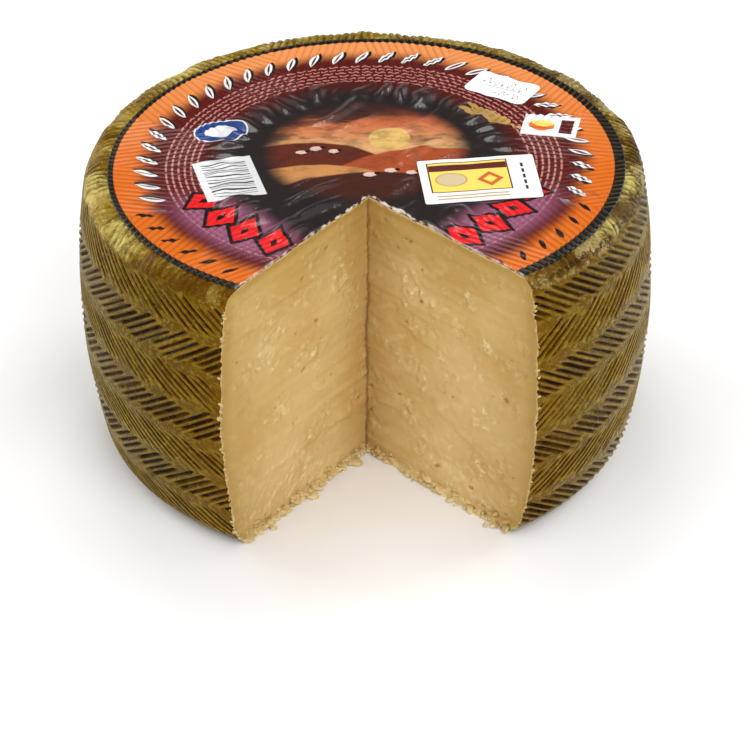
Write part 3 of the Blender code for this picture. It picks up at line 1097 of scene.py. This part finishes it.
def printMedallion(ink, place):
    # Hills at dusk with a low sun and grazing sheep, fading into the dark middle of the label
    depth = parts(place)[1]
    cloud = ramp(texture(place, 0.08, 4.0, 0.6, stretch=(0.5, 1.6, 1)), 0.49, 0.66, 0.0, 0.8)
    scene = blend(ramp(depth, 2.0, 26.0), "sand", "peach")
    scene = tint(scene, ((84, 38, 28), ramp(depth, 20.0, 34.0)), ("charcoal", cloud))
    scene = paintAll(scene, place, (
        ("ellipse", (9.0, 13.0), (7.0, 7.0), (240, 196, 112), 0, 0.05),
        ("ellipse", (-22.0, -16.0), (34.0, 27.0), (104, 42, 24), 8, 0.02),
        ("ellipse", (24.0, -22.0), (38.0, 28.0), (182, 82, 40), -6, 0.02),
        ("ellipse", (-20.0, -28.0), (34.0, 24.0), (214, 148, 86), 10, 0.02),
        ("ellipse", (6.0, -38.0), (46.0, 29.0), (74, 34, 22), -3, 0.02),
    ))
    for x, y, size in design["sheep"]:
        scene = paintAll(scene, place, (
            ("ellipse", (x, y), (size, size * 0.66), "cream", 0, 0.14),
            ("ellipse", (x + size * 1.1, y + size * 0.3), (size * 0.42, size * 0.36), "black"),
            ("box", (x - 0.5 * size, y - size * 0.85), (0.18, size * 0.35), "black"),
            ("box", (x + 0.5 * size, y - size * 0.85), (0.18, size * 0.35), "black"),
        ))
    brushed = ramp(texture(place, 0.22, 4.0, 0.65, stretch=(0.6, 1, 1)), 0.44, 0.68, 0.0, 0.4)
    view = shape("ellipse", Place=place, Centre=(1.0, 4.0, 0), Half=(32.0, 31.0, 1), Soft=0.13)
    return blend(view, ink, tint(scene, ("charcoal", brushed)))


def printFront(ink, place):
    # Red lozenges in black outlines, on a mauve glow, either side of the missing wedge
    for centre, turn in (((-42.0, -43.0), -42), ((43.0, -42.0), 42)):
        ink = paint(ink, place, "ellipse", centre, (25.0, 10.5), "mauve", turn, 0.42, 0.8)
    for degrees in design["lozengeTurns"]:
        centre = stepFrom(pressed["centre"], degrees, design["lozengeRadius"])
        for half, tone, soft in (((7.2, 9.2), "black", 0.05), ((5.4, 7.2), "red", 0.05), ((1.2, 2.5), "black", 0.1)):
            ink = paint(ink, place, "lozenge", centre, half, tone, degrees - 76, soft)
    return ink


def printPatches(ink, place):
    # White patch with plain bars, an oval, an ear of corn and a panel with a wheel of cheese on it
    patch, oval, corn = design["patch"], design["oval"], design["corn"]
    marks = [("box", patch, (10.0, 13.0), "white", 14, 0.15)]
    draw = random.Random(design["barSeed"])
    step = -8.0
    while step < 8.0:
        thick = draw.choice((0.3, 0.3, 0.55, 0.8))
        marks.append(("box", stepFrom(patch, 104, 1.35 * step), (7.6, thick / 2), "black", 14))
        step += thick + draw.choice((0.5, 0.6, 0.9))
    marks += [
        ("ellipse", oval, (9.4, 7.2), "white", 12, 0.02),
        ("ellipse", oval, (8.9, 6.7), "blue", 12, 0.02),
        ("ellipse", oval, (5.6, 3.6), "white", 12, 0.04),
        ("box", corn, (0.5, 15.0), "gold", 50, 0.15),
    ]
    for number in range(7):
        for side in (-1, 1):
            grain = stepFrom(corn, 140, 1.0 + 2.6 * number, -1.7 * side)
            marks.append(("ellipse", grain, (2.3, 0.85), "gold", 140 - side * 24, 0.1))
    marks += [
        ("box", (64.0, 19.0), (9.5, 7.0), "white", -12, 0.15),
        ("ellipse", (61.0, 19.6), (4.4, 3.2), "orange", -12, 0.06),
        ("ellipse", (61.6, 21.0), (3.9, 1.9), "yellow", -12, 0.08),
        ("box", (69.4, 18.0), (2.2, 4.6), "maroon", -12, 0.15),
    ]
    return paintAll(ink, place, marks)


def makeFilmMaterial():
    material, tree, shader = startMaterial("printedFilm", Roughness=0.4, Specular_IOR_Level=0.12, Coat_Roughness=0.16)
    place = placeInMm(tree)
    press = read(tree, "press")
    radius, angle = shape("polar", Place=place, Centre=(*pressed["centre"], 0)).node.outputs
    ink = printBackground(place, radius, angle)
    for printMore in (printMedallion, printFront, printPatches):
        ink = printMore(ink, place)
    ink = tint(
        ink,
        # Painted shade in the valleys between the ridges
        ("black", ramp(press, 0.0, 0.55, 0.22, 0.0)),
        # Painted highlights on the ridge crests show through the dark edge
        ((124, 98, 46), ramp(press, 0.7, 0.95), ramp(radius, 84.2, 84.6, 0.0, 0.4)),
        ((214, 204, 192), read(tree, "torn")),
    )
    # Glossier over the smooth middle than on the ridges, and dull on the dark edge
    gloss = add(ramp(radius, 50.0, 58.0, 0.45, 0.0), ramp(radius, 83.6, 84.6, 0.25, 0.1))
    crinkle = bumps(texture(place, 0.45, 3.0, 0.6, stretch=(1, 0.5, 1)), 0.35, 0.5)
    feed(shader, Base_Color=ink, Coat_Weight=gloss, Normal=crinkle, Coat_Normal=crinkle)
    return material


# The stickers
def makeSticker(settings, material, node):
    cells = [round(side / stickers["cell"]) for side in settings["size"]]
    sticker, *flat = makeSheet(settings["name"], *cells)
    flat = together(*flat) * settings["size"]
    # Rounded corners and slightly wavy edges
    half = np.array(settings["size"]) / 2
    over = np.maximum(np.abs(flat) - (half - settings["corner"]), 0.0)
    shrink = 1 - over.max(1) / np.maximum(np.hypot(*over.T), 1e-6)
    flat = flat - np.sign(flat) * over * shrink[:, None]
    rim = smoothStep(0.6, 1.0, (np.abs(flat) / half).max(1))
    x, y = flat.T
    spots = together(x, y, 0.0)
    y = y + settings["wobble"] * rim * noiseAt(spots, 5.0, 17.0)
    x, y = stepFrom(settings["centre"], settings["turn"], x, y)
    base = topHeight(np.hypot(x, y)) + film["thickness"] + stickers["lift"]
    base = base + stickers["relief"] * filmRelief(x, y) + stickers["curl"] * noiseAt(spots, 9.0, 18.0)
    writePoints(sticker, x, y, base)
    solid = sticker.modifiers.new("paper", "SOLIDIFY")
    solid.thickness = stickers["thickness"] * mm
    solid.offset = 1.0
    applyAll(sticker)
    sticker.data.materials.append(material)
    shadeSmooth(sticker, 50)
    standFor(sticker, node)
    print(settings["name"], len(sticker.data.polygons))


def makeSealMaterial():
    # A framed field with an oval and a lozenge, plain lines below it and short bars beside it
    material, tree, shader = startMaterial("sealPaper", Roughness=0.42, Coat_Weight=0.25, Coat_Roughness=0.2)
    centre, turn = stickers["seal"]["centre"], stickers["seal"]["turn"]
    marks = [
        ("box", (-3.2, 2.2), (13.6, 9.6), "maroon"),
        ("box", (-3.2, 2.2), (13.1, 9.1), "yellow"),
        ("box", (-3.2, 8.2), (13.1, 1.9), "maroon"),
        ("ellipse", (-9.4, 0.6), (5.4, 4.4), "gold", 0.05),
        ("ellipse", (-9.4, 0.6), (4.9, 3.9), "beige", 0.05),
        ("lozenge", (3.6, -0.2), (4.6, 4.6), (196, 96, 40), 0.08),
        ("lozenge", (3.6, -0.2), (2.4, 2.4), "yellow", 0.1),
    ]
    marks += [("box", (-3.2, y), (12.0, 0.35), "gold") for y in (-9.6, -11.4)]
    marks += [("box", (15.0, y), (0.45, 1.2), "black") for y in (-7.0, -3.4, 0.2, 3.8, 7.4)]
    turned = [(kind, stepFrom(centre, turn, *spot), half, ink, turn, *soft) for kind, spot, half, ink, *soft in marks]
    feed(shader, Base_Color=paintAll("white", placeInMm(tree), turned))
    return material


def makeTagMaterial():
    # Two scrawled lines that spell nothing, and a rule under them
    material, tree, shader = startMaterial("tagPaper", Roughness=0.6)
    centre, turn = stickers["tag"]["centre"], stickers["tag"]["turn"]
    place = placeInMm(tree)
    away = vector("SUBTRACT", place, (*centre, 0))
    local = put("VectorRotate", {"Vector": away, "Angle": math.radians(-turn)}, rotation_type="Z_AXIS")
    x, y, _ = parts(local)
    ink = "white"
    for height, reach, pace, left in ((2.2, 1.5, 2.6, -8.6), (-3.6, 0.9, 3.4, -1.0)):
        swing = multiply(calc("SINE", multiply(x, pace)), reach)
        drift = multiply(minus(texture(local, 0.5, 1.0), 0.5), 3.2)
        line = ramp(calc("ABSOLUTE", minus(minus(y, height), add(swing, drift))), 0.22, 0.5, 1.0, 0.0)
        extent = multiply(ramp(x, left, left + 0.3), ramp(x, 8.4, 8.8, 1.0, 0.0))
        gap = ramp(calc("FRACT", multiply(x, 0.21)), 0.18, 0.24)
        ink = tint(ink, ((70, 72, 84), line, extent, gap, 0.9))
    ink = paint(ink, place, "box", stepFrom(centre, turn, 1.0, -0.6), (7.0, 0.16), (140, 140, 146), turn + 3)
    feed(shader, Base_Color=ink)
    return material


# Crumbs at the foot of the cuts, on their frayed outer edges and loose in front: how many, and their scale
crumbs = {
    "kinds": {"foot": (340, 1.0), "fringe": (80, 0.45), "loose": (6, 1.0)},
    "sizes": (0.5, 1.6),
    "seed": 11,
}


def crumbPlace(draw, kind, size):
    left = draw.random() < 0.6
    direction = cut["left"] if left else cut["right"]
    z = 0.55 * size
    if kind == "foot":
        z += draw.random() ** 2.5 * 5.0
        along = draw.uniform(0, 67)
        away = draw.uniform(-0.6, 0.5)
    elif kind == "fringe":
        z = draw.uniform(3, 97)
        away = draw.uniform(-0.5, 0.3)
    else:
        along = draw.uniform(5, 66)
        away = draw.uniform(1.2, 3.5)
    edge = edgePlace(np.array([z]))[0]
    if kind == "fringe":
        middle = turnBy(*edge, -direction)[0]
        reach = float(wallRadius(z)) - draw.uniform(-0.1, 0.5)
        along = math.sqrt(middle**2 - edge @ edge + reach**2) - middle
    x, y = turnBy(along, away if left else -away, direction)
    return edge[0] + x, edge[1] + y, z


def makeCrumb():
    # A cube with its faces split once and rounded into a ball
    deselect()
    bpy.ops.mesh.primitive_cube_add(size=1.0, location=(0, 0, 0))
    crumb = named("crumb")
    editMesh(crumb, bpy.ops.mesh.subdivide, number_cuts=1)
    editMesh(crumb, bpy.ops.transform.tosphere, value=1.0)
    points = readPoints(crumb) * mm
    return crumb, points / np.linalg.norm(points, axis=1)[:, None]


def makeCrumbs(material):
    draw = random.Random(crumbs["seed"])
    first, ball = makeCrumb()
    made = [first]
    wanted = [row for kind, (count, scale) in crumbs["kinds"].items() for row in [(kind, scale)] * count]
    for number, (kind, scale) in enumerate(wanted):
        size = draw.uniform(*crumbs["sizes"]) * draw.choice((0.6, 0.8, 1.0, 1.25)) * scale
        place = crumbPlace(draw, kind, size)
        if number:
            made.append(first.copy())
            made[-1].data = first.data.copy()
            bpy.context.collection.objects.link(made[-1])
        stretch = np.array((draw.uniform(0.8, 1.7), draw.uniform(0.6, 1.1), draw.uniform(0.5, 0.9))) * size
        x, y, z = (ball * (1 + 0.5 * noiseAt(ball + number * 3.1, 0.8))[:, None] * stretch).T
        x, y = turnBy(x, y, draw.uniform(0, 6.28))
        writePoints(made[-1], x + place[0], y + place[1], np.maximum(z + place[2], 0.02))
    deselect()
    for crumb in made:
        crumb.select_set(True)
    bpy.context.view_layer.objects.active = first
    bpy.ops.object.join()
    joined = named("crumbs")
    joined.data.materials.append(material)
    markPaste(joined)
    shadeSmooth(joined, 50)
    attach(joined, "root")
    print("crumbs", len(joined.data.polygons))


pasteMaterial = makeCheese()
makeFilm()
makeSticker(stickers["seal"], makeSealMaterial(), "seal_sticker")
makeSticker(stickers["tag"], makeTagMaterial(), "batch_tag")
makeCrumbs(pasteMaterial)


# Floor, light and camera. The lamps have a place, a size and a power, in metres and watts.
studio = {
    "cameraPlace": (0.0, -965.3, 674.1),
    "cameraAim": (2.89, 0.0, 14.55),
    "cameraRoll": math.radians(-1.03),
    "lens": 159.17,
    "sensor": 36.0,
    "floorSize": 6.0,
    "floorColour": (0.86, 0.86, 0.86),
    "sky": 0.70,
    "flag": (0.0, 0.82, 0.57),
    "lampAim": (0, 0, 0.05),
    "lamps": {
        "keyLight": ((0.55, -1.1, 1.1), 0.9, 12.0),
        "fillLight": ((-1.1, -0.9, 0.9), 1.0, 4.0),
        "leftLight": ((-1.3, 0.9, 0.45), 0.8, 14.0),
        "rightLight": ((1.3, 0.9, 0.45), 0.8, 16.0),
        "topLight": ((-0.1, 0.55, 1.25), 0.5, 4.0),
    },
}


def aimAt(obj, target):
    return (Vector(target) - obj.location).to_track_quat("-Z", "Y")


def makeStudio():
    deselect()
    bpy.ops.mesh.primitive_plane_add(size=studio["floorSize"], location=(0, 0, 0))
    floor = named("floor")
    material = startMaterial("paleFloor", Base_Color=(*studio["floorColour"], 1), Roughness=0.8)[0]
    floor.data.materials.append(material)
    world = bpy.data.worlds.new("softLight")
    bpy.context.scene.world = world
    world.use_nodes = True
    # A white sky with a dark flag where the flat film mirrors it towards the camera
    towards = vector("DOT_PRODUCT", put("TexCoord", tree=world.node_tree), studio["flag"], out=1)
    background = world.node_tree.nodes["Background"]
    background.inputs["Color"].default_value = (1, 1, 1, 1)
    feed(background, Strength=ramp(towards, 0.80, 0.95, studio["sky"], 0.04))
    for name, (place, size, power) in studio["lamps"].items():
        bpy.ops.object.light_add(type="AREA", location=place)
        light = named(name)
        light.data.size = size
        light.data.energy = power
        light.rotation_euler = aimAt(light, studio["lampAim"]).to_euler()
    bpy.ops.object.camera_add(location=Vector(studio["cameraPlace"]) * mm)
    camera = named("photoCamera")
    camera.data.lens = studio["lens"]
    camera.data.sensor_width = studio["sensor"]
    camera.data.clip_start = 0.05
    camera.data.clip_end = 20
    camera.rotation_mode = "QUATERNION"
    roll = Quaternion((0, 0, 1), studio["cameraRoll"])
    camera.rotation_quaternion = aimAt(camera, Vector(studio["cameraAim"]) * mm) @ roll
    bpy.context.scene.camera = camera
    bpy.context.scene.view_settings.view_transform = "Standard"


makeStudio()
